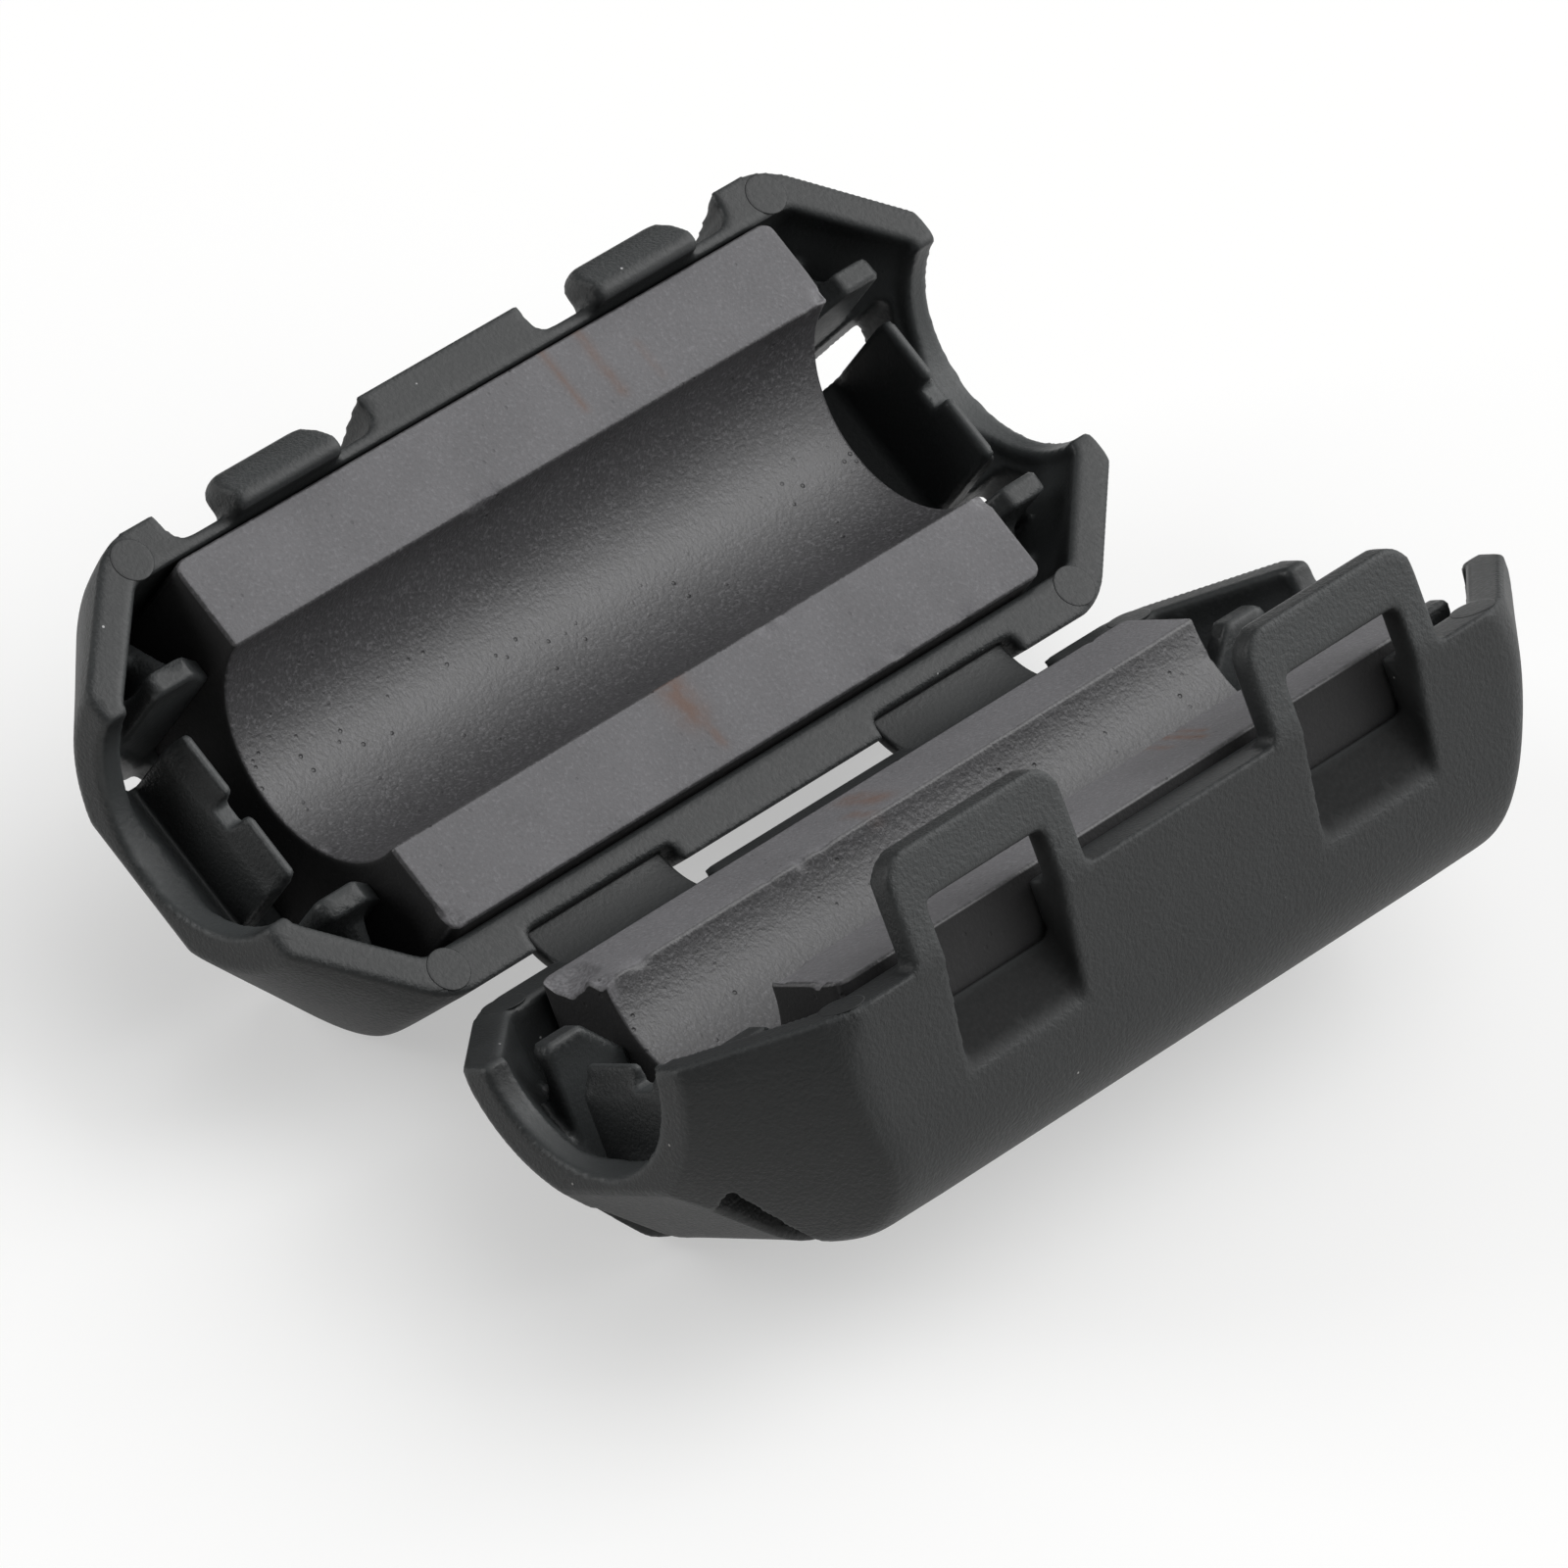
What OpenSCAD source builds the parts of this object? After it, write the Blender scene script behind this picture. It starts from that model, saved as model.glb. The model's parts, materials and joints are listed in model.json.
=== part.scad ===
// Clip-on ferrite bead for a cable, stored open: a one-piece moulded case whose two halves share two living
// hinge straps, and a half ferrite core in each half. Sizes are in millimetres.
//
// Stored frame: X along the bead, Z up, the hinge axis over the middle of the base, the catch half on +Y.
// Each half is drawn in its own frame first: X along the bead, Y outward from the hinge axis, and Z out of
// the joint face, which is the plane where the two half cores meet when the case is shut.

/* [Core] */
// radius of the round cable channel
channel_radius = 4.3; // [3.5:0.1:5.5]
// length of each half core
core_length = 28.6; // [26:0.1:36]
// thickness of a core beside the channel
core_wall = 3.55; // [2.5:0.05:4.5]
// thickness of a core below the channel
core_floor = 3.5; // [2.5:0.1:4.5]
// rounding of the two lower long edges of a core
core_corner = 4; // [2:0.1:4.5]
// air gap left between the two cores when the case is shut
core_face_gap = 0.06; // [0.02:0.01:0.2]

/* [Case] */
// gap between a long wall of the case and the side of the core
core_side_gap = 0.15; // [0.1:0.05:0.5]
// thickness of the long walls at the rim
side_wall = 1.8; // [1.6:0.05:2.5]
// thickness of the case below the core
floor_wall = 1.3; // [1:0.05:2]
// how far each end of the case reaches past the core
end_length = 5.7; // [5.5:0.1:8]
// how far the rim stands below the joint face
rim_drop = 0.4; // [0.2:0.05:0.6]
// lean of the long walls, in degrees
wall_draft = 12; // [6:0.5:14]
// rounding of the two lower long edges of the case
back_corner = 4.5; // [3:0.1:5]
// from the core's end to where the case starts to narrow in plan
shoulder_gap = 1.4; // [1:0.1:2]
// rounding of the shoulders in plan
shoulder_radius = 3; // [1:0.1:5]
// from the core's end to where the case starts to narrow seen from the side
back_shoulder_gap = 1.2; // [1:0.1:2]
// rounding of the shoulders seen from the side
back_shoulder_radius = 4; // [1:0.1:5]
// how much larger the round mouth's radius is than the channel's
mouth_step = 0.05; // [0:0.05:0.3]
// width of the end face on each side of the mouth
mouth_side = 1.15; // [0.9:0.05:2]
// height of the end face below the mouth
mouth_floor = 0.55; // [0.4:0.05:1.5]
// how far the cone that rounds the end face stands off the mouth
mouth_round = 1.25; // [1:0.05:2]
// wall thickness of the narrowing ends
end_wall = 1.35; // [1:0.05:1.6]
// thickness of the flat end wall
mouth_wall = 1.1; // [0.8:0.05:1.4]

/* [Cable grip ends] */
// from the core's end to the tongue
tongue_gap = 2.4; // [2:0.1:2.8]
// thickness of the tongue
tongue_thickness = 0.9; // [0.7:0.05:1.2]
// how far the tongue stands into the channel
tongue_reach = 2.6; // [1:0.05:2.8]
// radius of the ridge along the tongue's top
ridge_radius = 0.26; // [0.15:0.01:0.3]
// how far the ridge stands above the tongue's shelf
ridge_rise = 0.4; // [0.2:0.05:0.45]
// width of the split in the middle of the tongue
ridge_split = 0.9; // [0.5:0.1:1.5]
// width of the slot on each side of the tongue
slot_width = 1.15; // [0.8:0.05:1.8]
// from the core's end to the start of those slots
slot_gap = 0.3; // [0.2:0.05:1]
// thickness of the ribs that hold the core's ends
rib_thickness = 0.9; // [0.6:0.05:1]
// how far a rib reaches from the core's end
rib_length = 3.15; // [2.8:0.05:3.6]
// from the channel's wall to the middle of a rib
rib_side = 0.5; // [0:0.05:0.6]
// how far a rib's top stands below the joint face
rib_drop = 0.9; // [0.6:0.05:1.5]

/* [Latches] */
// distance of each latch from the middle
latch_x = 8.57; // [8:0.05:9]
// width of a latch loop
loop_width = 8.1; // [7:0.1:8.6]
// height of a latch loop above the joint face
loop_height = 3.4; // [2.8:0.1:4]
// thickness of a latch loop
loop_thickness = 1; // [0.6:0.05:1.1]
// rounding of a loop's top corners
loop_corner = 1.2; // [0.5:0.1:1.3]
// width of the window in a loop
window_width = 5.5; // [4.5:0.1:6]
// foot of the window below the joint face
window_foot = 2.3; // [1.5:0.1:3]
// lower end of the sloped pocket below the joint face
pocket_foot = 4.8; // [4:0.1:5.5]
// play between a barb and the window's edge when the case is shut
latch_play = 0.2; // [0.1:0.05:0.4]
// gap between a loop and each side of its recess
loop_side_gap = 0.675; // [0.3:0.025:0.8]
// gap between a loop and the floor of its recess
loop_back_gap = 0.3; // [0.2:0.05:0.4]
// gap between a loop's tip and the end of its recess
loop_tip_gap = 1.8; // [0.5:0.1:2]
// fillet in the recess's inner corners
recess_fillet = 0.7; // [0.3:0.1:1]
// gap between a barb and each side of the window
barb_side_gap = 0.35; // [0.2:0.05:0.6]
// how far a barb's nose stands proud of the long wall
barb_proud = 0.1; // [0:0.05:0.3]
// height of a barb above the joint face
barb_top = 0.6; // [0.3:0.1:0.8]
// underside of a barb below the joint face
barb_foot = 1.25; // [1:0.05:1.4]
// rounding of a barb's ends
barb_round = 0.75; // [0.3:0.05:1]

/* [Hinge] */
// angle between the two joint faces as stored
open_angle = 120; // [90:1:150]
// distance from the hinge axis to each long wall
hinge_gap = 0.2; // [0.1:0.05:0.5]
// distance of each strap's middle from the middle of the bead
strap_x = 8.35; // [6:0.05:9]
// width of a strap
strap_width = 6.5; // [4:0.1:8]
// thickness of a strap
strap_thickness = 0.5; // [0.3:0.05:0.7]
// how deep the strap's notch goes into the long wall
strap_inset = 0.8; // [0.6:0.05:1]
// level of a strap below the joint face
strap_drop = 1.15; // [1:0.05:1.6]
// gap beside a strap in its notch
strap_side_gap = 0.2; // [0.1:0.05:0.5]
// room below a strap in its notch
strap_room = 0.8; // [0.5:0.1:1.5]

/* [Hidden] */
$fn = 64;
tilt = (180 - open_angle) / 2;
end_reach = core_length / 2;
core_half = channel_radius + core_wall;
core_depth = channel_radius + core_floor;
cavity_half = core_half + core_side_gap;
case_half_width = cavity_half + side_wall;
case_depth = core_depth + floor_wall;
half_length = end_reach + end_length;
case_length = 2 * half_length;
hinge_offset = case_half_width + hinge_gap;

// the drafted walls and rounded lower edges of the case
draft_rate = tan(wall_draft);
corner_z = back_corner - case_depth;
corner_y = case_half_width + draft_rate * (corner_z + rim_drop) - back_corner / cos(wall_draft);

// the narrowing ends, outside and inside
mouth_radius = channel_radius + mouth_step;
end_half_width = mouth_radius + mouth_side;
end_depth = mouth_radius + mouth_floor;
end_round = mouth_radius + mouth_round;
shoulder_x = end_reach + shoulder_gap;
back_shoulder_x = end_reach + back_shoulder_gap;
plan_angle = atan2(case_half_width - end_half_width, half_length - shoulder_x);
back_angle = atan2(case_depth - end_depth, half_length - back_shoulder_x);
inner_length = half_length - mouth_wall;
inner_end_half = end_half_width + mouth_wall * tan(plan_angle) - end_wall / cos(plan_angle);
inner_shoulder_x = inner_length - (cavity_half - inner_end_half) / tan(plan_angle);
inner_end_depth = end_depth + mouth_wall * tan(back_angle) - end_wall / cos(back_angle);
inner_back_x = inner_length - (core_depth - inner_end_depth) / tan(back_angle);
inner_shoulder_radius = 0.8;
seat_ease = 0.2;
mouth_run = 0.6;
cone_rate = 1.02;
cone_wall = end_wall * sqrt(1 + cone_rate * cone_rate);
inner_round = end_round + cone_rate * mouth_wall - cone_wall;
cone_x = end_reach - 2;

// the tongues and ribs at the ends
rib_sink = 0.3 * floor_wall;
rib_slot_gap = 0.1;
slot_end_gap = 0.2;
tongue_inset = 0.05;
tongue_cover = 0.2;
rib_offset = channel_radius + rib_side;
rib_foot = core_depth + rib_sink;
slot_inner = rib_offset - rib_thickness / 2 - slot_width - rib_slot_gap;
slot_start = end_reach + slot_gap;
slot_end = inner_length - slot_end_gap;
tongue_half = slot_inner - tongue_inset;
tongue_x = end_reach + tongue_gap;
tongue_outer = tongue_x + tongue_thickness;
tongue_top = tongue_reach - channel_radius;
tongue_foot = end_depth + tan(back_angle) * (half_length - tongue_outer) - tongue_cover;

// the latches
window_top = barb_foot + latch_play;
recess_width = loop_width + 2 * loop_side_gap;
recess_floor = case_half_width - loop_thickness - loop_back_gap;
recess_depth = loop_height + loop_tip_gap;
barb_length = window_width - 2 * barb_side_gap;
barb_sink = 0.15;
barb_root = cavity_half + barb_sink;
barb_reach = case_half_width + barb_proud;

// the hinge axis stands over the base at the height that puts the rounded lower edges on the ground
hinge_z = back_corner - (hinge_offset - corner_y) * sin(tilt) - corner_z * cos(tilt);
strap_seat = case_half_width - strap_inset;
notch_depth = strap_drop + strap_thickness / 2 + strap_room;
strap_y = (hinge_offset - strap_seat) * cos(tilt) + strap_drop * sin(tilt);
strap_z = (hinge_offset - strap_seat) * sin(tilt) - strap_drop * cos(tilt);
strap_radius = strap_y / sin(tilt);
strap_centre_z = strap_z + strap_radius * cos(tilt);

plastic = [0.15, 0.16, 0.16];
ferrite = [0.4, 0.39, 0.4];

// places a half drawn in its own frame: the catch half on +Y, the latch half turned round to -Y
module as_catch_half() {
  translate([0, 0, hinge_z]) rotate([tilt, 0, 0]) children();
}

module as_latch_half() {
  translate([0, 0, hinge_z]) rotate([0, 0, 180]) rotate([tilt, 0, 0]) children();
}

// stands a profile drawn as (Y, Z) up and runs it along X, centred
module along_x(length) {
  rotate([90, 0, 90]) translate([0, 0, -length / 2]) linear_extrude(height = length) children();
}

// stands a profile drawn as (X, Z) up and runs it along Y, centred on the given Y
module along_y(middle, length) {
  translate([0, middle + length / 2, 0]) rotate([90, 0, 0]) linear_extrude(height = length) children();
}

// the same shape at both ends
module both_ends() {
  children();
  mirror([1, 0, 0]) children();
}

// both sides of the bead axis
module both_sides() {
  children();
  translate([0, hinge_offset, 0]) mirror([0, 1, 0]) translate([0, -hinge_offset, 0]) children();
}

// a long outline that narrows at both ends, with rounded shoulders
module tapered_outline(reach, half, end_half, start, radius) {
  lean = atan2(half - end_half, reach - start);
  run = radius * tan(lean / 2);
  polygon([
    [start - run, half],
    [start + run * cos(lean), half - run * sin(lean)],
    [reach, end_half],
    [reach, -end_half],
    [start + run * cos(lean), -half + run * sin(lean)],
    [start - run, -half],
    [-start + run, -half],
    [-start - run * cos(lean), -half + run * sin(lean)],
    [-reach, -end_half],
    [-reach, end_half],
    [-start - run * cos(lean), half - run * sin(lean)],
    [-start + run, half]
  ]);
  for (side = [-1, 1]) for (end = [-1, 1])
    translate([end * (start - run), side * (half - radius)]) circle(r = radius);
}

// the case's cross-section: drafted long walls and rounded lower edges
module case_section() {
  low_y = corner_y + back_corner * cos(wall_draft);
  low_z = corner_z - back_corner * sin(wall_draft);
  translate([hinge_offset, 0]) {
    polygon([
      [case_half_width, -rim_drop],
      [low_y, low_z],
      [corner_y, -case_depth],
      [-corner_y, -case_depth],
      [-low_y, low_z],
      [-case_half_width, -rim_drop]
    ]);
    for (side = [-1, 1]) translate([side * corner_y, corner_z]) circle(r = back_corner);
  }
}

// a plain trough section with rounded lower edges and a flat top
module trough_section(half, depth, radius, top) {
  translate([hinge_offset, 0]) intersection() {
    translate([-half - 1, -depth - 1]) square([2 * half + 2, depth + 1 + top]);
    union() {
      translate([-half, radius - depth]) square([2 * half, top + depth]);
      translate([radius - half, -depth]) square([2 * (half - radius), depth]);
      for (side = [-1, 1]) translate([side * (half - radius), radius - depth]) circle(r = radius);
    }
  }
}

// a double cone about the bead axis that rounds the narrowing ends
module end_cone(reach, end_radius) {
  wide = end_radius + cone_rate * (reach - cone_x);
  translate([0, hinge_offset, 0]) rotate([0, 90, 0]) rotate_extrude()
    polygon([
      [0, -reach],
      [end_radius, -reach],
      [wide, -cone_x],
      [wide, cone_x],
      [end_radius, reach],
      [0, reach]
    ]);
}

// solid outside of a case half, up to its rim
module case_solid() {
  intersection() {
    translate([0, hinge_offset, -case_depth - 1]) linear_extrude(height = case_depth + 1 - rim_drop)
      tapered_outline(half_length, case_half_width, end_half_width, shoulder_x, shoulder_radius);
    along_y(hinge_offset, 2 * case_half_width + 2)
      tapered_outline(half_length, case_depth, end_depth, back_shoulder_x, back_shoulder_radius);
    along_x(case_length + 2) case_section();
    end_cone(half_length, end_round);
  }
}

// hollow of a case half: the core's seat and a narrowing chamber at each end
module case_hollow() {
  intersection() {
    translate([0, hinge_offset, -case_depth]) linear_extrude(height = case_depth + 1)
      tapered_outline(inner_length, cavity_half, inner_end_half, inner_shoulder_x, inner_shoulder_radius);
    along_y(hinge_offset, 2 * case_half_width)
      tapered_outline(inner_length, core_depth, inner_end_depth, inner_back_x, inner_shoulder_radius);
    along_x(case_length) trough_section(cavity_half, core_depth, core_corner + seat_ease, 1);
    end_cone(inner_length, inner_round);
  }
}

// the round mouths, cut through the two end walls only, so that the core's seat keeps its floor
module mouths() {
  both_ends() translate([inner_length - mouth_run, hinge_offset, 0]) rotate([0, 90, 0])
    cylinder(r = mouth_radius, h = mouth_wall + 2);
}

// slots through the floor on each side of a tongue
module tongue_slots() {
  both_ends() both_sides()
    translate([slot_start, hinge_offset + slot_inner, -case_depth - 1])
      cube([slot_end - slot_start, slot_width, case_depth + 1 - channel_radius + 1]);
}

// springy tongue that bears on the cable, with a ridge split in two
module tongue() {
  shelf = tongue_top - ridge_rise;
  slope_run = 0.4;
  slope_drop = 0.5;
  split_depth = 0.35;
  ridge_z = tongue_top - ridge_radius;
  ridge_start = ridge_split / 2 + ridge_radius;
  ridge_length = tongue_half - ridge_radius - ridge_start;
  difference() {
    along_y(hinge_offset, 2 * tongue_half) polygon([
      [tongue_x, -tongue_foot],
      [tongue_outer, -tongue_foot],
      [tongue_outer, shelf - slope_drop],
      [tongue_outer - slope_run, shelf],
      [tongue_x, shelf]
    ]);
    translate([tongue_x - 0.5, hinge_offset - ridge_split / 2, shelf - split_depth])
      cube([tongue_thickness + 1, ridge_split, 2]);
  }
  both_sides() translate([tongue_x + ridge_radius, hinge_offset + ridge_start, ridge_z]) {
    rotate([-90, 0, 0]) cylinder(r = ridge_radius, h = ridge_length);
    sphere(r = ridge_radius);
    translate([0, ridge_length, 0]) sphere(r = ridge_radius);
  }
}

// rib that bears on a core's end, and the gusset that ties it to the long wall
module core_rib() {
  tip_x = end_reach + rib_length;
  foot_x = end_reach + 1.1;
  tip_rise = 2.1;
  tip_bevel = 0.25;
  lead_run = 1.4;
  lead_drop = 1.5;
  gusset_top = -rib_drop - 0.8;
  gusset_low = -rib_drop - 2.6;
  gusset_rise = 3.2;
  wall_side = cavity_half - 0.4;
  wall_sink = 0.3;
  along_y(hinge_offset + rib_offset, rib_thickness) polygon([
    [end_reach, -rib_foot],
    [foot_x, -rib_foot],
    [tip_x, -rib_foot + tip_rise],
    [tip_x, -rib_drop - tip_bevel],
    [tip_x - tip_bevel, -rib_drop],
    [end_reach + lead_run, -rib_drop],
    [end_reach, -rib_drop - lead_drop]
  ]);
  translate([foot_x, hinge_offset, 0]) rotate([90, 0, 90]) linear_extrude(height = rib_thickness)
    polygon([
      [rib_offset, gusset_top],
      [wall_side, gusset_low],
      [cavity_half + wall_sink, gusset_low],
      [wall_side, -rib_foot + gusset_rise],
      [rib_offset, -rib_foot]
    ]);
}

// notches in the hinge rim that the straps leave from
module strap_notches() {
  width = strap_width + 2 * strap_side_gap;
  both_ends() translate([strap_x - width / 2, -2, -notch_depth])
    cube([width, 2 + hinge_offset - strap_seat, notch_depth + 1]);
}

// everything that the two case halves share
module plain_half() {
  difference() {
    union() {
      difference() {
        case_solid();
        case_hollow();
      }
      intersection() {
        case_solid();
        union() {
          both_ends() tongue();
          both_ends() both_sides() core_rib();
        }
      }
    }
    mouths();
    tongue_slots();
    strap_notches();
  }
}

// a recess in the latch side of the catch half, with filleted inner corners
module latch_recess() {
  half = recess_width / 2;
  floor_y = hinge_offset + recess_floor;
  translate([latch_x, floor_y, -recess_depth]) linear_extrude(height = recess_depth + 2) {
    translate([-half + recess_fillet, 0]) square([recess_width - 2 * recess_fillet, 3]);
    translate([-half, recess_fillet]) square([recess_width, 3]);
    for (side = [-1, 1]) translate([side * (half - recess_fillet), recess_fillet]) circle(r = recess_fillet);
  }
}

// a barb: a bar with rounded ends, a lead-in slope above and a flat catch below
module barb() {
  inner = hinge_offset + barb_root;
  nose = hinge_offset + barb_reach;
  half = barb_length / 2;
  back_bevel = 0.2;
  top_width = 0.6;
  slope_foot = 0.35;
  nose_top = 0.65;
  nose_bevel = 0.1;
  foot_bevel = 0.25;
  translate([latch_x, 0, 0]) intersection() {
    along_x(barb_length) polygon([
      [inner, -barb_foot],
      [inner, barb_top - back_bevel],
      [inner + back_bevel, barb_top],
      [inner + top_width, barb_top],
      [nose - nose_bevel, -slope_foot],
      [nose, -nose_top],
      [nose, -barb_foot + foot_bevel],
      [nose - foot_bevel, -barb_foot]
    ]);
    translate([0, 0, -barb_foot - 1]) linear_extrude(height = barb_foot + barb_top + 2) {
      translate([-half + barb_round, inner - 1]) square([barb_length - 2 * barb_round, nose - inner + 1]);
      translate([-half, inner - 1]) square([barb_length, nose - inner + 1 - barb_round]);
      for (side = [-1, 1]) translate([side * (half - barb_round), nose - barb_round]) circle(r = barb_round);
    }
  }
}

// a latch loop standing on the rim, flush with the long wall
module latch_loop() {
  half = loop_width / 2;
  foot = rim_drop + 0.3;
  outer = hinge_offset + case_half_width;
  translate([latch_x, 0, 0]) along_y(outer - loop_thickness / 2, loop_thickness) {
    translate([-half, -foot]) square([loop_width, loop_height - loop_corner + foot]);
    translate([-half + loop_corner, 0]) square([loop_width - 2 * loop_corner, loop_height]);
    for (side = [-1, 1]) translate([side * (half - loop_corner), loop_height - loop_corner])
      circle(r = loop_corner);
  }
}

// the window through a loop and the wall below it, ending in a sloped pocket
module latch_window() {
  through = hinge_offset + cavity_half - 0.1;
  ledge = hinge_offset + cavity_half + 0.1;
  outer = hinge_offset + case_half_width;
  beyond = outer + 0.5;
  wall_at_foot = outer - draft_rate * (pocket_foot - rim_drop);
  rate = (pocket_foot - window_foot) / (wall_at_foot - ledge);
  translate([latch_x, 0, 0]) along_x(window_width) polygon([
    [through, window_top],
    [through, -window_foot],
    [ledge, -window_foot],
    [beyond, -window_foot - rate * (beyond - ledge)],
    [beyond, window_top]
  ]);
}

// half core with its half-round channel
module half_core() {
  difference() {
    along_x(core_length) trough_section(core_half, core_depth, core_corner, -core_face_gap / 2);
    translate([0, hinge_offset, 0]) rotate([0, 90, 0])
      cylinder(r = channel_radius, h = core_length + 2, center = true);
  }
}

// one hinge strap, a short arc from one notch wall to the other
module hinge_strap(side) {
  reach = strap_radius + 2;
  translate([side * strap_x, 0, hinge_z + strap_centre_z]) along_x(strap_width) intersection() {
    difference() {
      circle(r = strap_radius + strap_thickness / 2);
      circle(r = strap_radius - strap_thickness / 2);
    }
    polygon([
      [0, 0],
      [reach * sin(tilt), -reach * cos(tilt)],
      [0, -reach * 1.5],
      [-reach * sin(tilt), -reach * cos(tilt)]
    ]);
  }
}

module catch_shell() {
  color(plastic) as_catch_half() {
    difference() {
      plain_half();
      both_ends() latch_recess();
    }
    both_ends() barb();
  }
}

module latch_shell() {
  color(plastic) as_latch_half() difference() {
    union() {
      plain_half();
      both_ends() latch_loop();
    }
    both_ends() latch_window();
  }
}

module catch_core() {
  color(ferrite) as_catch_half() half_core();
}

module latch_core() {
  color(ferrite) as_latch_half() half_core();
}

module hinge_strap_left() {
  color(plastic) hinge_strap(-1);
}

module hinge_strap_right() {
  color(plastic) hinge_strap(1);
}

catch_shell();
latch_shell();
catch_core();
latch_core();
hinge_strap_left();
hinge_strap_right();
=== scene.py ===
"""Clip-on ferrite bead, stored open: the looks of its moulded case, its two half cores and its hinge straps.

Lengths in the shapes below are millimetres in the frame of one half, whose origin is the middle of the bead
axis: x runs along the bead, y across it and away from the hinge, n out of the joint face. place() turns them
into metres in the part's frame.
"""
import json
import math

import bmesh
import bpy
import numpy as np
from mathutils import Matrix, Vector


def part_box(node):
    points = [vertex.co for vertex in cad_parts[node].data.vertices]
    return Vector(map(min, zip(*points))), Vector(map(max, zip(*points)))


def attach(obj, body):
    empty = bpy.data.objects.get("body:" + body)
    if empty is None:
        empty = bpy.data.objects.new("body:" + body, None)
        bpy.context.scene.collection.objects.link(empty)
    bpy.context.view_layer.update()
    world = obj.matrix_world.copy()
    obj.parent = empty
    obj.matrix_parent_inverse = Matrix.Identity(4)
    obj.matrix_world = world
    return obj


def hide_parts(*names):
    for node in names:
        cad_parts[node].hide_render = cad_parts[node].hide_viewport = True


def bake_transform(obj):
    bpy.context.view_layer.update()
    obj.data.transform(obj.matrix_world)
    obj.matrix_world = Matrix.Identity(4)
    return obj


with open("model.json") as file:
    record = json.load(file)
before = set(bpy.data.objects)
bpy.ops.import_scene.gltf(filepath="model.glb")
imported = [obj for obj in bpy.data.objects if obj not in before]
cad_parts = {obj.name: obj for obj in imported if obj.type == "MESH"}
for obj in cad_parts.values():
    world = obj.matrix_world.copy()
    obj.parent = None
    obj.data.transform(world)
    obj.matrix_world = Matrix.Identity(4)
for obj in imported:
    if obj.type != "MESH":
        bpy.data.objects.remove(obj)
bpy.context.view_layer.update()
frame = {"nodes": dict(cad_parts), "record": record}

MM = 0.001
HALVES = ("catch", "latch")
SIDES = ("left", "right")


# Where the two halves lie

RECORD = frame["record"]
HINGE = np.array(RECORD["behaviour"]["joints"][0]["pos_m"], float)
CHANNEL = next(np.array(m["pos_m"], float) for m in RECORD["mounts"] if m["name"] == "cable_channel")
HINGE_TO_CHANNEL = float(np.linalg.norm(CHANNEL - HINGE)) / MM
OUTWARD = (CHANNEL - HINGE) / np.linalg.norm(CHANNEL - HINGE)
HALF_TURN = {"catch": np.array([1.0, 1.0, 1.0]), "latch": np.array([-1.0, -1.0, 1.0])}


def half_axes(half):
    """Rows are the half's x, y and n directions in the part's frame; the latch half is turned half round."""
    x_way = np.array([1.0, 0.0, 0.0]) * HALF_TURN[half]
    y_way = OUTWARD * HALF_TURN[half]
    return np.array([x_way, y_way, np.cross(x_way, y_way)])


def half_origin(half):
    """The middle of the half's bead axis, in metres in the part's frame."""
    return HINGE + half_axes(half)[1] * HINGE_TO_CHANNEL * MM


def place(points, half):
    """Points of one half, in millimetres, as metres in the part's frame."""
    return half_origin(half) + (np.asarray(points, float) @ half_axes(half)) * MM


def local(points, half):
    """The reverse of place()."""
    return (np.asarray(points, float) - half_origin(half)) @ half_axes(half).T / MM


def mesh_points(mesh):
    """A mesh's points as an array, one row each."""
    points = np.empty(len(mesh.vertices) * 3)
    mesh.vertices.foreach_get("co", points)
    return points.reshape(-1, 3)


# Sizes read from the frame

CORE_POINTS = local(mesh_points(frame["nodes"]["catch_core"].data), "catch")
CORE_HALF_LENGTH = np.abs(CORE_POINTS[:, 0]).max()
CORE_HALF_WIDTH = np.abs(CORE_POINTS[:, 1]).max()
CORE_DEPTH = -CORE_POINTS[:, 2].min()
CORE_TOP = CORE_POINTS[:, 2].max()
CHANNEL_RADIUS = np.hypot(CORE_POINTS[:, 1], CORE_POINTS[:, 2]).min()
STRAP_BOX = {side: np.array(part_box("hinge_strap_" + side)) / MM for side in SIDES}

# Sizes of the half cores

CORE_CORNER = 4.0
CORE_EDGE_ROUND = 0.16
CORE_EDGE_LEAST = 0.02
CORE_END_ROUND = 0.16
CORE_PLAN_ROUND = 0.5
CORE_STEP = 0.16
# how many points each stretch of the section has, and how many rings each rounded end
BACK_POINTS = 14
CORNER_POINTS = 28
SIDE_POINTS = 16
EDGE_POINTS = 6
STRIP_POINTS = 18
CHANNEL_POINTS = 44
END_RINGS = 7
# depth of the ground joint face, depth of the sides and ends that carry painted shade, and where those stop
# below the top
GROUND_DEPTH = 0.02
PAINTED_SHADE_DEPTH = 0.05
PAINTED_SHADE_STOP = 0.12
# small chips: how far they reach from a rim and from an end, and the noise that scatters them
CHIP_DEPTH = 0.12
CHIP_RIM_REACH = 0.55
CHIP_END_REACH = 0.7
CHIP_COARSE = 2.1
CHIP_FINE = 0.5
CHIP_LEVEL = 0.74
CHIP_EASE = 0.1
CHIP_SPREAD = 0.8
CHIP_SEED = {"catch": 11, "latch": 21}
NOISE_SHIFT = 40
NOISE_CELLS = 32
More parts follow.
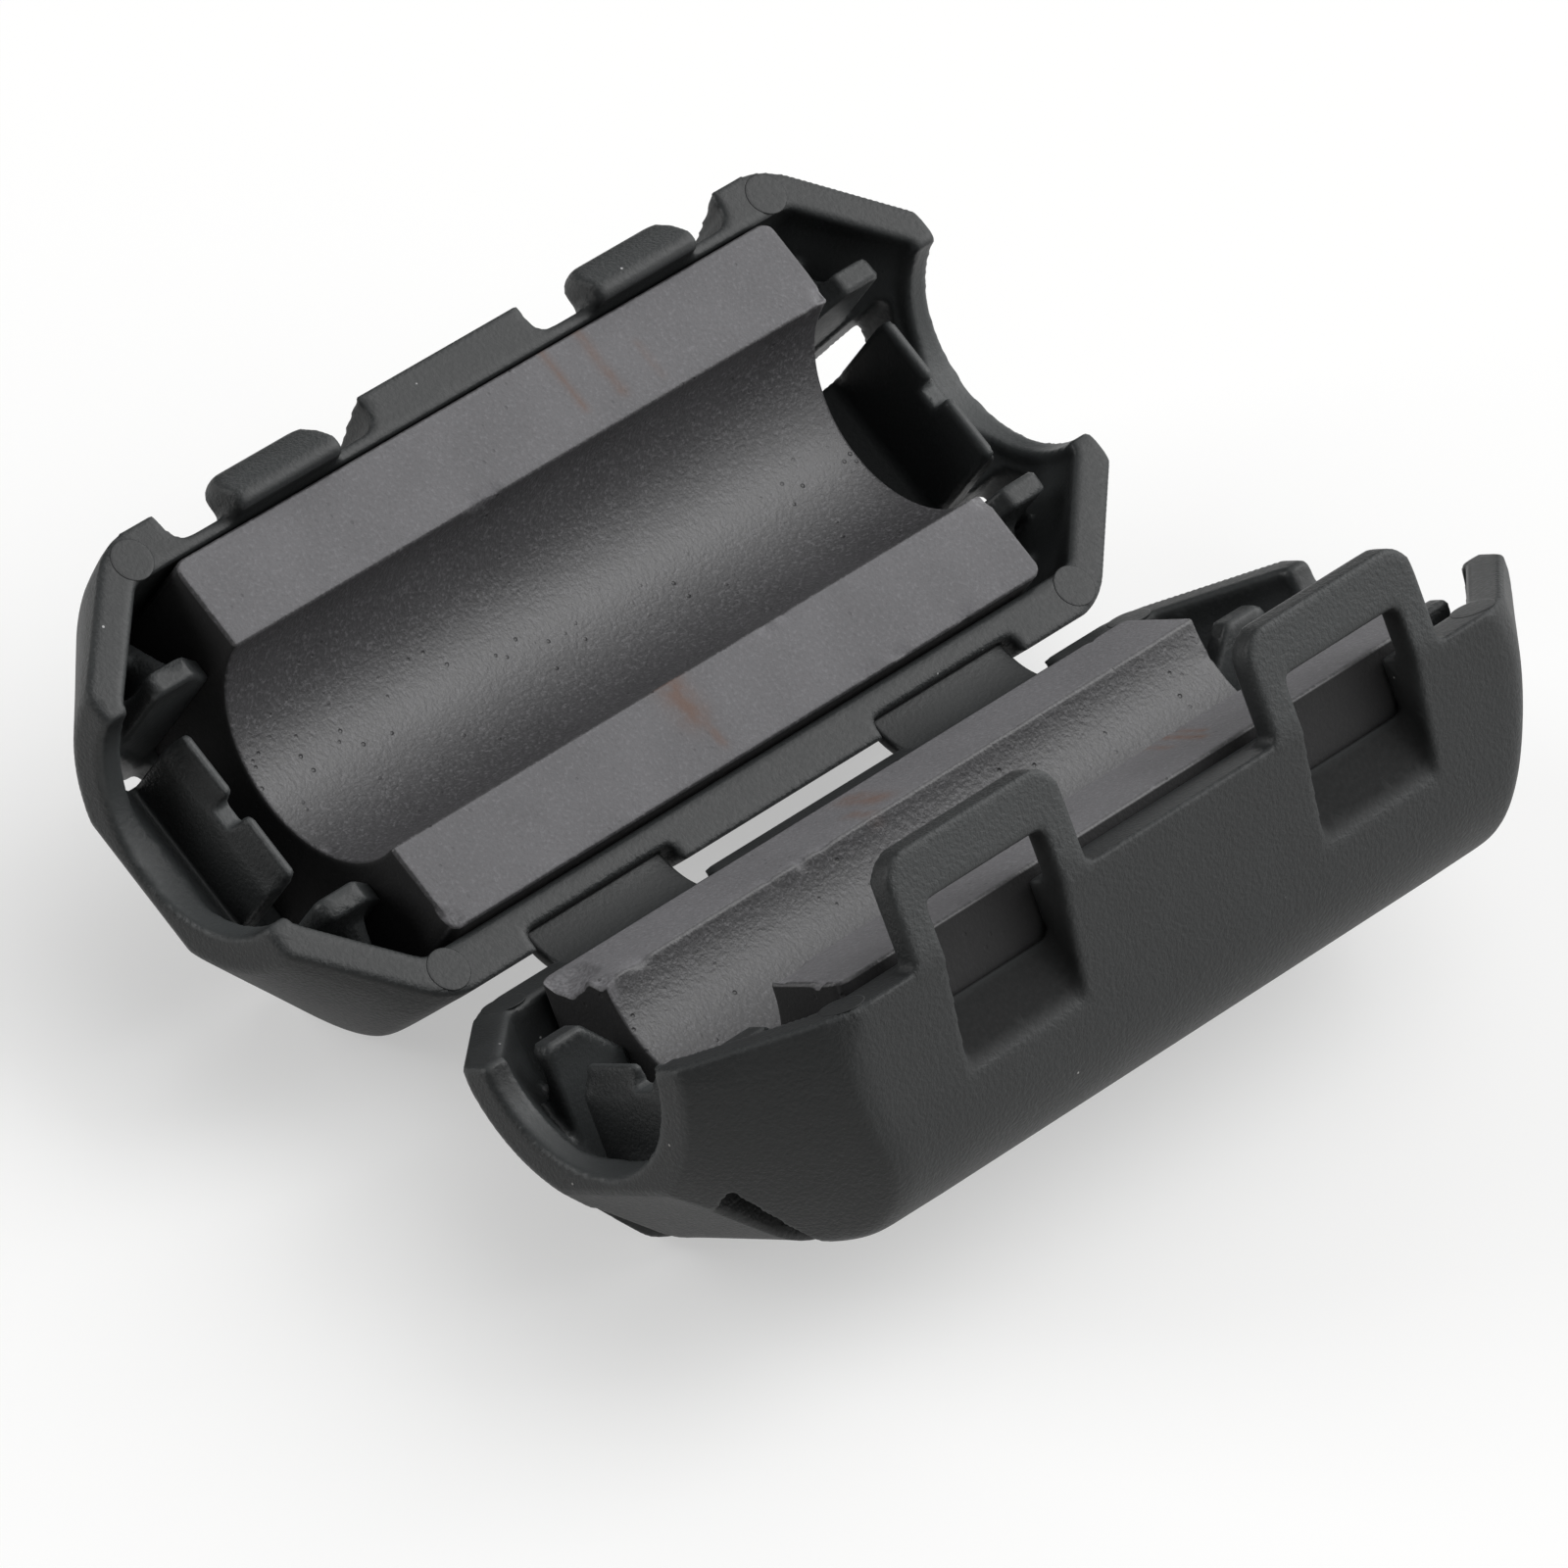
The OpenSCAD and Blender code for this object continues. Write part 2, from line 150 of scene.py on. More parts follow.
# each broken corner: its half, x and y on the joint face, its radius, its depth
BROKEN_CORNERS = [("latch", 14.1, -6.6, 1.25, 0.45), ("latch", 14.2, -4.6, 0.5, 0.2),
                  ("catch", 14.2, -4.5, 0.5, 0.2), ("catch", 14.2, 4.6, 0.4, 0.15),
                  ("catch", -14.2, -7.6, 0.45, 0.15), ("latch", -14.2, 7.7, 0.5, 0.2)]
BREAK_WAVE = 0.6
BREAK_SEED = 5
BREAK_FLOOR = -1.0
BREAK_EASE = 0.8
BREAK_EDGE = 4
# each stain: its half, x, where it starts and ends in y, its half width, its strength
STAINS = [("catch", 3.15, 5.3, 8.0, 0.16, 0.6), ("catch", 4.85, 5.2, 7.9, 0.22, 0.5),
          ("catch", 6.6, 5.0, 6.4, 0.14, 0.3), ("catch", -1.2, -5.7, -4.3, 0.6, 0.75),
          ("catch", -0.95, -7.1, -5.6, 0.18, 0.6), ("latch", -4.4, 4.5, 6.4, 0.16, 0.9),
          ("latch", -4.9, 4.6, 5.9, 0.14, 0.8), ("latch", -3.6, 4.4, 5.6, 0.14, 0.7),
          ("latch", 0.15, -6.9, -5.4, 0.5, 0.7), ("latch", 1.4, -5.5, -4.6, 0.3, 0.5)]
STAIN_DEPTH = 0.5

# Sizes of the case shells

CASE_VOXEL = 0.16
CASE_SMOOTHING = 3
SHELL_TRIANGLES = 190000
MERGE_GAP = 0.002
RIM_LEVEL = -0.4
# how much of x, y and n counts in the direction out of the middle of a half
OUT_OF_MIDDLE = (0.25, 1.0, 1.0)
# the block at each end that holds the tongue and the ribs
DETAIL_START = 14.2
DETAIL_END = 17.7
DETAIL_HALF_WIDTH = 5.4
DETAIL_FLOOR = -5.5
# a smoothed point this near the true surface goes back onto it, and one this far stays where it is
FLAT_LIMIT = (0.018, 0.045)
DETAIL_LIMIT = (0.12, 0.25)
# the outside of the narrowing ends, smoothed further: where it starts, ends and stops below the rim
SHOULDER_SMOOTHING = 40
SHOULDER_OUTWARD = 1.5
SHOULDER_START = 12.0
SHOULDER_EASE = 1.5
SHOULDER_END = 19.3
SHOULDER_TOP = -1.0
SHOULDER_FADE = 0.8
# the slots beside the tongues, which the smoothing leaves alone
SLOT_MIDDLE = 3.675
SLOT_KEEP = 0.75
SLOT_FADE = 0.6
SLOT_START = 14.4
SLOT_START_FADE = 0.5
# the latch windows and the sloped pockets below them, which carry painted shade and a smoother texture, and
# the tangent of the outer wall's draft
POCKET_X = 8.57
POCKET_HALF_WIDTH = 2.8
POCKET_FOOT = -4.9
POCKET_TOP = 1.6
POCKET_BACK = 7.9
POCKET_SKIN = 0.05
POCKET_FADE = 0.3
WALL_DRAFT = 0.2126
# where the plastic is worn, where painted light goes on its raised outward faces, where it is outside, and
# how deep inside painted light lifts its shade
WORN_DEPTH = 0.06
RAISED_LIGHT_RISE = 0.6
RAISED_LIGHT_FACING = 0.5
OUTSIDE_SHARPNESS = 3
DEEP_LIGHT_DROP = 0.6
DEEP_LIGHT_FADE = 1.2

# Sizes of the pin marks and the straps

PIN_MARK_RADIUS = 0.8
PIN_MARK_PROUD = 0.012
PIN_MARK_SIDES = 40
# each ring of a pin mark, from its middle out: its share of the radius and of the height
PIN_MARK_RINGS = [(0.5, 1.0), (0.86, 1.0), (0.95, 0.8), (1.0, 0.2), (1.0, -1.0)]
PIN_MARK_PLACES = [(x, y) for x in (-15.2, 15.2) for y in (-8.75, 8.75)]
# the rounding as a share of the strap's thickness, and the bend as a share of its reach
STRAP_ROUND = 0.35
STRAP_BEND = 0.9
STRAP_STEPS = 41
STRAP_CORNER_POINTS = 5

# Finishes

PLASTIC_LEVEL = 0.021
PLASTIC_TINT = (0.92, 1.0, 1.02)
PLASTIC_IOR = 1.42
DUST_LEVEL = 0.55
FERRITE_LEVEL = 0.055
FERRITE_TINT = (1.0, 0.985, 1.04)
FERRITE_IOR = 1.6
GROUND_SHARE = 2.4
STAIN_COLOUR = (0.13, 0.065, 0.04, 1.0)
TEXTURE_HEIGHT = 0.05

# Studio: places and lengths in metres, angles in degrees

CAMERA_TARGET = Vector((-0.0009, -0.00033, 0.00687))
CAMERA_AZIMUTH = -47.18
CAMERA_ELEVATION = 37.99
CAMERA_ROLL = 2.05
CAMERA_DISTANCE = 0.4576
CAMERA_LENS = 311.83
CAMERA_SENSOR = 36
CAMERA_NEAR = 0.01
CAMERA_FAR = 10
FLOOR_REACH = 3.0
FLOOR_GLOW = 0.45
TABLE_COLOUR = (0.26, 0.23, 0.2, 1)
PAPER_COLOUR = (0.96, 0.96, 0.955, 1)
GLOW_COLOUR = (1.0, 1.0, 0.995, 1)
SKY_WAY = (0.72, -0.36, 0.6)
SKY_PATCH = (0.15, 0.95)
SKY_DIM = 0.06
SKY_BRIGHT = 1.5
LAMP_PLACE = (0.5, -0.25, 0.45)
LAMP_SIZE = 0.45
LAMP_WATTS = 1.8
FILL_PLACE = (-0.45, 0.42, 0.32)
FILL_SIZE = 0.4
FILL_WATTS = 1.9


# Mesh helpers

def linked(name, data):
    """A mesh, camera or lamp as an object of the scene."""
    made = bpy.data.objects.new(name, data)
    bpy.context.scene.collection.objects.link(made)
    return made


def new_piece(name, points, faces, material):
    """A mesh piece at the origin, with its place in its vertices; all but its end caps shade smoothly."""
    mesh = bpy.data.meshes.new(name)
    mesh.from_pydata(np.asarray(points, float).tolist(), [], faces)
    mesh.validate()
    mesh.materials.append(material)
    mesh.polygons.foreach_set("use_smooth", [polygon.loop_total <= 4 for polygon in mesh.polygons])
    return linked(name, mesh)


def carry(mesh, **values):
    """Stores each array as a value at the mesh's points, which the materials read."""
    for name, array in values.items():
        attribute = mesh.attributes.new(name, "FLOAT", "POINT")
        attribute.data.foreach_set("value", array.astype(np.float32))


def face_outwards(piece):
    """Turns every face of a closed piece to point out of it."""
    shape = bmesh.new()
    shape.from_mesh(piece.data)
    bmesh.ops.recalc_face_normals(shape, faces=shape.faces)
    shape.to_mesh(piece.data)
    shape.free()


def tube_faces(rings, around):
    """Quads of a grid of closed rings, and one cap over each end ring."""
    index = np.arange(rings * around).reshape(rings, around)
    following = np.roll(index, -1, axis=1)
    quads = np.stack([index[:-1], following[:-1], following[1:], index[1:]], axis=-1).reshape(-1, 4)
    return quads.tolist() + [index[0][::-1].tolist(), index[-1].tolist()]


def arc(centre, radius, start, end, count):
    """Points of an arc: centre + radius * (cos a, sin a), with a from start to end in degrees."""
    angle = np.radians(np.linspace(start, end, count))
    return np.asarray(centre) + radius * np.stack([np.cos(angle), np.sin(angle)], axis=1)


def rising(values, start, span):
    """0 up to start, then a straight rise to 1 over span."""
    return np.clip((values - start) / span, 0, 1)


def falling(values, end, span):
    """1 until span before end, then a straight fall to 0 at end."""
    return np.clip((end - values) / span, 0, 1)


def lattice_noise(points, cell, seed):
    """Smooth noise from 0 to 1: random values on a cubic lattice, eased by 3f^2 - 2f^3 between them."""
    table = np.random.default_rng(seed).random((NOISE_CELLS, NOISE_CELLS, NOISE_CELLS))
    scaled = (np.asarray(points, float) + NOISE_SHIFT) / cell
    base = np.floor(scaled).astype(int)
    share = scaled - base
    share = share * share * (3 - 2 * share)
    total = np.zeros(len(scaled))
    for corner in np.ndindex(2, 2, 2):
        where = (base + corner) % NOISE_CELLS
        weight = np.prod(np.where(np.array(corner) == 1, share, 1 - share), axis=1)
        total += weight * table[where[:, 0], where[:, 1], where[:, 2]]
    return total


# Shader maths

class Value:
    """A socket that takes part in Python arithmetic: each operator adds one Math node."""

    def __init__(self, finish, socket):
        self.finish = finish
        self.socket = socket

    def math(self, operation, *others):
        """A Math node on this value and others, in that order."""
        return self.finish.node("ShaderNodeMath", {"operation": operation}, dict(enumerate((self,) + others)))

    def __add__(self, other):
        return self.math("ADD", other)

    def __radd__(self, other):
        return self.math("ADD", other)

    def __sub__(self, other):
        return self.math("SUBTRACT", other)

    def __rsub__(self, other):
        return self.finish.node("ShaderNodeMath", {"operation": "SUBTRACT"}, {0: other, 1: self})

    def __mul__(self, other):
        return self.math("MULTIPLY", other)

    def __rmul__(self, other):
        return self.math("MULTIPLY", other)

    def above(self, low, high):
        """0 below low, 1 above high, eased between."""
        return self.finish.node("ShaderNodeMapRange", {"interpolation_type": "SMOOTHSTEP"},
                                {"Value": self, "From Min": low, "From Max": high})

    def below(self, low, high):
        """1 below low, 0 above high, eased between."""
        return 1 - self.above(low, high)


class Finish:
    """A material's nodes, or the world's, all made by node()."""

    # places of a Mix node's colour sockets: the share, both colours, and the result among the outputs
    MIX_SHARE = 0
    MIX_FIRST = 6
    MIX_SECOND = 7
    MIX_RESULT = 2

    def __init__(self, owner, output_kind="ShaderNodeOutputMaterial"):
        self.owner = owner
        self.output_kind = output_kind
        owner.use_nodes = True
        self.tree = owner.node_tree
        self.tree.nodes.clear()

    def node(self, kind, settings=None, sockets=None, output=0):
        """Makes a node: its settings first, then the values or links of its sockets.

        Returns one of its outputs, or nothing where output is None.
        """
        made = self.tree.nodes.new(kind)
        for key, value in (settings or {}).items():
            setattr(made, key, value)
        for key, value in (sockets or {}).items():
            if isinstance(value, Value):
                self.tree.links.new(value.socket, made.inputs[key])
            else:
                made.inputs[key].default_value = value
        return None if output is None else Value(self, made.outputs[output])

    def position(self):
        """The point on the piece, in metres in the part's frame."""
        return self.node("ShaderNodeTexCoord", output="Object")

    def grain(self, size, detail=2.0, roughness=0.5):
        """Noise from 0 to 1 with features of about the given size in millimetres."""
        return self.node("ShaderNodeTexNoise", {}, {
            "Vector": self.position(), "Scale": 1 / (size * MM), "Detail": detail, "Roughness": roughness})

    def dots(self, spacing):
        """Distance to the nearest of points scattered about spacing millimetres apart, as a share of it."""
        return self.node("ShaderNodeTexVoronoi", {}, {"Vector": self.position(), "Scale": 1 / (spacing * MM)})

    def attribute(self, name):
        """A value that the mesh carries at its points."""
        return self.node("ShaderNodeAttribute", {"attribute_name": name}, output="Fac")

    def mix(self, share, first, second):
        """A colour between first and second."""
        sockets = {self.MIX_SHARE: share, self.MIX_FIRST: first, self.MIX_SECOND: second}
        return self.node("ShaderNodeMix", {"data_type": "RGBA"}, sockets, self.MIX_RESULT)

    def bump(self, height, distance):
        """A normal for a height from 0 to 1 that stands distance millimetres high."""
        return self.node("ShaderNodeBump", {}, {"Height": height, "Distance": distance * MM, "Strength": 1.0})

    def surface(self, **sockets):
        """Ends the material in one principled shader."""
        named = {key.replace("_", " "): value for key, value in sockets.items()}
        return self.end(self.node("ShaderNodeBsdfPrincipled", {}, named))

    def end(self, shader):
        """Links the last shader to the output and returns the material or world."""
        self.node(self.output_kind, {}, {"Surface": shader}, None)
        return self.owner


# Materials

def tone_of(level, tint=(1.0, 1.0, 1.0)):
    """A colour of one brightness and a tint."""
    return tuple(level * share for share in tint) + (1.0,)


def plastic(share):
    """The case's colour at a share of its level."""
    return tone_of(PLASTIC_LEVEL * share, PLASTIC_TINT)


def core(share):
    """The cores' colour at a share of its level."""
    return tone_of(FERRITE_LEVEL * share, FERRITE_TINT)


def case_plastic():
    """Dark moulded plastic: eroded grain outside, plainer inside, worn edges, some dust; painted light deep
    inside and on the raised outward faces, painted shade in the latch pockets.
    """
    look = Finish(bpy.data.materials.new("case plastic"))
    # worn: rubbed edges plus painted light on raised outward faces; smooth: painted shade and a smoother
    # texture in the latch pockets; inside: painted light deep inside
    worn = look.attribute("worn")
    outside = look.attribute("outside")
    smooth = look.attribute("smooth")
    inside = look.attribute("inside")
    mottle = look.grain(2.6, 3.0)
    grain = look.grain(0.16, 2.0, 0.6)
    dust = look.dots(1.9).below(0.016, 0.032)
    # a faint mottle and the pale tips of the grain
    tone = look.mix(mottle.above(0.3, 0.7), plastic(0.88), plastic(1.1))
    tone = look.mix(grain.above(0.55, 0.8) * 0.3, tone, plastic(1.7))
    # painted light deep inside, painted shade in the latch pockets, edges rubbed pale plus painted light on
    # the raised outward faces, and the dust on top
    tone = look.mix(inside * (1 - smooth) * 0.8, tone, plastic(2.6))
    tone = look.mix(smooth * 0.8, tone, plastic(0.15))
    tone = look.mix(worn * (grain * 0.5 + 0.25), tone, plastic(2.4))
    tone = look.mix(dust * 0.8, tone, tone_of(DUST_LEVEL))
    rough = 0.46 + outside * 0.1 + (grain - 0.5) * 0.2 + (mottle - 0.5) * 0.1 - worn * 0.06 + smooth * 0.3
    height = grain * (outside * 0.7 + 0.3) * (1 - smooth * 0.8)
    return look.surface(Base_Color=tone, Roughness=rough, Normal=look.bump(height, TEXTURE_HEIGHT),
                        IOR=PLASTIC_IOR)


def ferrite():
    """Sintered ferrite: pale matte ground faces, a darker pitted channel, painted shade on the sides and
    ends, chips and stains.
    """
    look = Finish(bpy.data.materials.new("ferrite"))
    speckle = look.grain(0.14, 2.0, 0.6)
    pitting = look.grain(0.28, 2.0, 0.5)
    cloud = look.grain(3.2, 3.0)
    pits = look.dots(0.6).below(0.06, 0.17) * cloud.above(0.45, 0.62)
    stain = look.attribute("stain") * (look.grain(0.5, 3.0).above(0.25, 0.65) * 0.6 + 0.4)
    # side: painted shade on the core's sides and ends, for the shade they lie in inside the case, with a
    # rougher finish
    side = look.attribute("side")
    chip = look.attribute("chip") * (1 - side)
    ground = look.attribute("ground")
    # the ground faces, then darker clouds, pale and dark grains, and painted shade on the sides and ends
    tone = look.mix(ground, core(1.0), core(GROUND_SHARE))
    tone = look.mix(cloud.above(0.25, 0.75) * 0.16, tone, core(0.0))
    tone = look.mix(speckle.above(0.5, 0.75) * 0.22, tone, core(6.0))
    tone = look.mix(speckle.below(0.3, 0.45) * 0.2, tone, core(0.4))
    tone = look.mix(side * 0.9, tone, core(0.1))
    # stains, fresh chips and dark pits on top
    tone = look.mix(stain, tone, STAIN_COLOUR)
    tone = look.mix(chip * (speckle.above(0.35, 0.65) * 0.5 + 0.4), tone, core(3.2))
    tone = look.mix(pits * (1 - ground * 0.7) * 0.65, tone, core(0.2))
    rough = (speckle - 0.5) * 0.2 + chip * 0.2 + side * 0.45 + ground * 0.3 + 0.45
    height = speckle * 0.3 + (pitting * 0.32 - pits * 0.6) * (1 - ground * 0.5)
    return look.surface(Base_Color=tone, Roughness=rough, Normal=look.bump(height, TEXTURE_HEIGHT),
                        IOR=FERRITE_IOR)


PLASTIC = case_plastic()
FERRITE = ferrite()


# Half cores

def half_core_profile(inset):
    """One side of the core's section, from the middle of its back round to the middle of the channel.

    Arcs for the lower corner, the outer rim and the channel's lip; straight runs between; the channel is an
    arc about the bead axis. The whole outline is drawn in by inset, and its arcs shrink with it.
    """
    width = CORE_HALF_WIDTH - inset
    depth = CORE_DEPTH - inset
    top = CORE_TOP - inset
    channel_radius = CHANNEL_RADIUS + inset
    corner_radius = CORE_CORNER - inset
    rim = max(CORE_EDGE_ROUND - inset, CORE_EDGE_LEAST)
    lip_n = top - rim
    lip_y = math.sqrt((channel_radius + rim) ** 2 - lip_n ** 2)
    lip_angle = math.degrees(math.atan2(lip_n, lip_y))
    back_y = np.linspace(0, width - corner_radius, BACK_POINTS)[:-1]
    back = np.stack([back_y, np.full(len(back_y), -depth)], axis=1)
    corner = arc((width - corner_radius, corner_radius - depth), corner_radius, -90, 0, CORNER_POINTS)
    side_n = np.linspace(corner_radius - depth, lip_n, SIDE_POINTS)[1:-1]
    side = np.stack([np.full(len(side_n), width), side_n], axis=1)
    outer = arc((width - rim, lip_n), rim, 0, 90, EDGE_POINTS)
    strip_y = np.linspace(width - rim, lip_y, STRIP_POINTS)[1:-1]
    strip = np.stack([strip_y, np.full(len(strip_y), top)], axis=1)
    lip = arc((lip_y, lip_n), rim, 90, 180 + lip_angle, EDGE_POINTS)
    channel = arc((0, 0), channel_radius, lip_angle, -90, CHANNEL_POINTS)[1:]
    return np.concatenate([back, corner, side, outer, strip, lip, channel])


def whole_core_profile(inset):
    """The core's whole section: one side, and the same mirrored back to the start."""
    half_section = half_core_profile(inset)
    return np.concatenate([half_section, half_section[-2:0:-1] * (-1, 1)])


def core_surface():
    """The core as rings of its section along x, drawn in along a quarter circle at both ends.

    Returns the points, how close each lies to a rim or an end from 0 to 1, and its inward direction.
    """
    turn = np.radians(np.linspace(90, 0, END_RINGS))
    end_x = CORE_HALF_LENGTH - CORE_END_ROUND + CORE_END_ROUND * np.sin(turn)
    end_inset = CORE_END_ROUND * (1 - np.cos(turn))
    middle_x = np.linspace(-end_x[-1], end_x[-1], int(2 * end_x[-1] / CORE_STEP))[1:-1]
    x = np.concatenate([-end_x, middle_x, end_x[::-1]])
    inset = np.concatenate([end_inset, np.zeros(len(middle_x)), end_inset[::-1]]).tolist()
    sections = {value: whole_core_profile(value) for value in set(inset)}
    rings = np.stack([sections[value] for value in inset])
    points = np.concatenate([np.broadcast_to(x[:, None, None], rings.shape[:2] + (1,)), rings], axis=2)
    section = sections[0.0]
    tangent = np.roll(section, -1, axis=0) - np.roll(section, 1, axis=0)
    tangent /= np.linalg.norm(tangent, axis=1)[:, None]
    inward = np.stack([np.zeros(len(section)), -tangent[:, 1], tangent[:, 0]], axis=1)
    rims = np.array([[CORE_HALF_WIDTH, CORE_TOP], [CHANNEL_RADIUS, CORE_TOP]])
    folded = np.stack([np.abs(section[:, 0]), section[:, 1]], axis=1)
    rim_gap = np.linalg.norm(folded[:, None] - rims[None], axis=2).min(axis=1)
    rim_near = falling(rim_gap, CHIP_RIM_REACH, CHIP_RIM_REACH)
    end_near = falling(CORE_HALF_LENGTH - np.abs(x), CHIP_END_REACH, CHIP_END_REACH)
    near = np.maximum(rim_near[None], end_near[:, None])
    return points, near, np.broadcast_to(inward[None], points.shape)


def round_in_plan(points):
    """Rounds the core's outer corners seen from above: walls draw in along a quarter circle at the ends."""
    past = np.clip(np.abs(points[:, 0]) - CORE_HALF_LENGTH + CORE_PLAN_ROUND, 0, CORE_PLAN_ROUND)
    drawn_in = CORE_PLAN_ROUND - np.sqrt(CORE_PLAN_ROUND ** 2 - past ** 2)
    wall = rising(np.abs(points[:, 1]), CHANNEL_RADIUS, CORE_HALF_WIDTH - CHANNEL_RADIUS)
    moved = points.copy()
    moved[:, 1] -= np.sign(points[:, 1]) * drawn_in * wall
    return moved


def stain_strength(points, half):
    """How stained each point is: a stain fades as exp(-(d / w)^2) off its line along y on the top face."""
    total = np.zeros(len(points))
    on_top = points[:, 2] > CORE_TOP - STAIN_DEPTH
    for stained, x, start, end, width, strength in STAINS:
        if stained == half:
            past = np.maximum(np.maximum(start - points[:, 1], points[:, 1] - end), 0)
            off = np.hypot(points[:, 0] - x, past) / width
            total = np.maximum(total, strength * np.exp(-off ** 2) * on_top)
    return total


def broken_away(points, half):
    """How much of each broken corner's depth is gone at each point, and that depth.

    A corner breaks off as a bowl: 1 - (d / r)^2 of its depth at the distance d from its middle, on a radius
    that waves by a quarter either way.
    """
    share = np.zeros(len(points))
    depth = np.zeros(len(points))
    wave = 0.75 + 0.5 * lattice_noise(points, BREAK_WAVE, BREAK_SEED)
    near_top = rising(points[:, 2], BREAK_FLOOR, BREAK_EASE)
    for broken, x, y, radius, deepest in BROKEN_CORNERS:
        if broken == half:
            off = np.hypot(points[:, 0] - x, points[:, 1] - y) / (radius * wave)
            gone = np.clip(1 - off ** 2, 0, 1) * near_top
            depth = np.where(gone > share, deepest, depth)
            share = np.maximum(share, gone)
    return share, depth


def make_core(half):
    """One half core, with small chips along its edges and its broken corners."""
    points, near, inward = core_surface()
    rings, around = points.shape[:2]
    flat = points.reshape(-1, 3)
    coarse = lattice_noise(flat, CHIP_COARSE, CHIP_SEED[half])
    fine = lattice_noise(flat, CHIP_FINE, CHIP_SEED[half] + 1)
    chip = rising((coarse + fine) / 2, CHIP_LEVEL, CHIP_EASE) * near.reshape(-1) ** CHIP_SPREAD
    gone, depth = broken_away(flat, half)
    broken = np.clip(gone * BREAK_EDGE, 0, 1)
    worn = flat + inward.reshape(-1, 3) * (chip * CHIP_DEPTH)[:, None]
    # a broken face is rough: its depth varies by three tenths either way
    worn[:, 2] -= gone * depth * (0.7 + 0.6 * fine)
    outer = rising(np.abs(flat[:, 1]), CORE_HALF_WIDTH - PAINTED_SHADE_DEPTH, PAINTED_SHADE_DEPTH)
    end = np.abs(flat[:, 0]) > CORE_HALF_LENGTH - PAINTED_SHADE_DEPTH
    placed = place(round_in_plan(worn), half)
    piece = new_piece(half + "_half_core", placed, tube_faces(rings, around), FERRITE)
    # side is painted shade on the sides and ends below the top
    carry(piece.data, chip=np.maximum(chip, broken), stain=stain_strength(flat, half),
          side=np.maximum(outer, end) * (flat[:, 2] < CORE_TOP - PAINTED_SHADE_STOP),
          ground=(flat[:, 2] > CORE_TOP - GROUND_DEPTH) * (1 - broken))
    face_outwards(piece)
    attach(piece, half + "_half")
    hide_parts(half + "_core")


# Case shells

def evaluated_mesh(piece):
    """The piece's mesh with its modifiers applied, as a new mesh."""
    return bpy.data.meshes.new_from_object(piece.evaluated_get(bpy.context.evaluated_depsgraph_get()))


def neighbour_mean(points, edges):
    """The mean of the points that share an edge with each point."""
    first, second = edges.T
    count = np.bincount(edges.reshape(-1), minlength=len(points))
    total = np.stack([np.bincount(first, points[second, axis], len(points))
                      + np.bincount(second, points[first, axis], len(points)) for axis in range(3)], axis=1)
    return total / count[:, None]


def vertex_normals(mesh):
    """A mesh's point normals as an array."""
    normals = np.empty(len(mesh.vertices) * 3)
    mesh.vertex_normals.foreach_get("vector", normals)
    return normals.reshape(-1, 3)


def end_detail(points):
    """True on the tongues and ribs inside the ends, which keep their edges."""
    along = np.abs(points[:, 0])
    inside = (along > DETAIL_START) & (along < DETAIL_END)
    return inside & (np.abs(points[:, 1]) < DETAIL_HALF_WIDTH) & (points[:, 2] > DETAIL_FLOOR)


def on_shoulder(points, normals):
    """How free each point is to be smoothed: outside, on the narrowing ends, off rim, mouth and slots."""
    along = np.abs(points[:, 0])
    outward = (normals * points * OUT_OF_MIDDLE).sum(axis=1) > SHOULDER_OUTWARD
    reach = rising(along, SHOULDER_START, SHOULDER_EASE) * falling(along, SHOULDER_END, SHOULDER_FADE)
    beside_slot = rising(np.abs(np.abs(points[:, 1]) - SLOT_MIDDLE), SLOT_KEEP, SLOT_FADE)
    off_slot = np.maximum(beside_slot, falling(along, SLOT_START, SLOT_START_FADE))
    return outward * reach * off_slot * falling(points[:, 2], SHOULDER_TOP, SHOULDER_FADE)


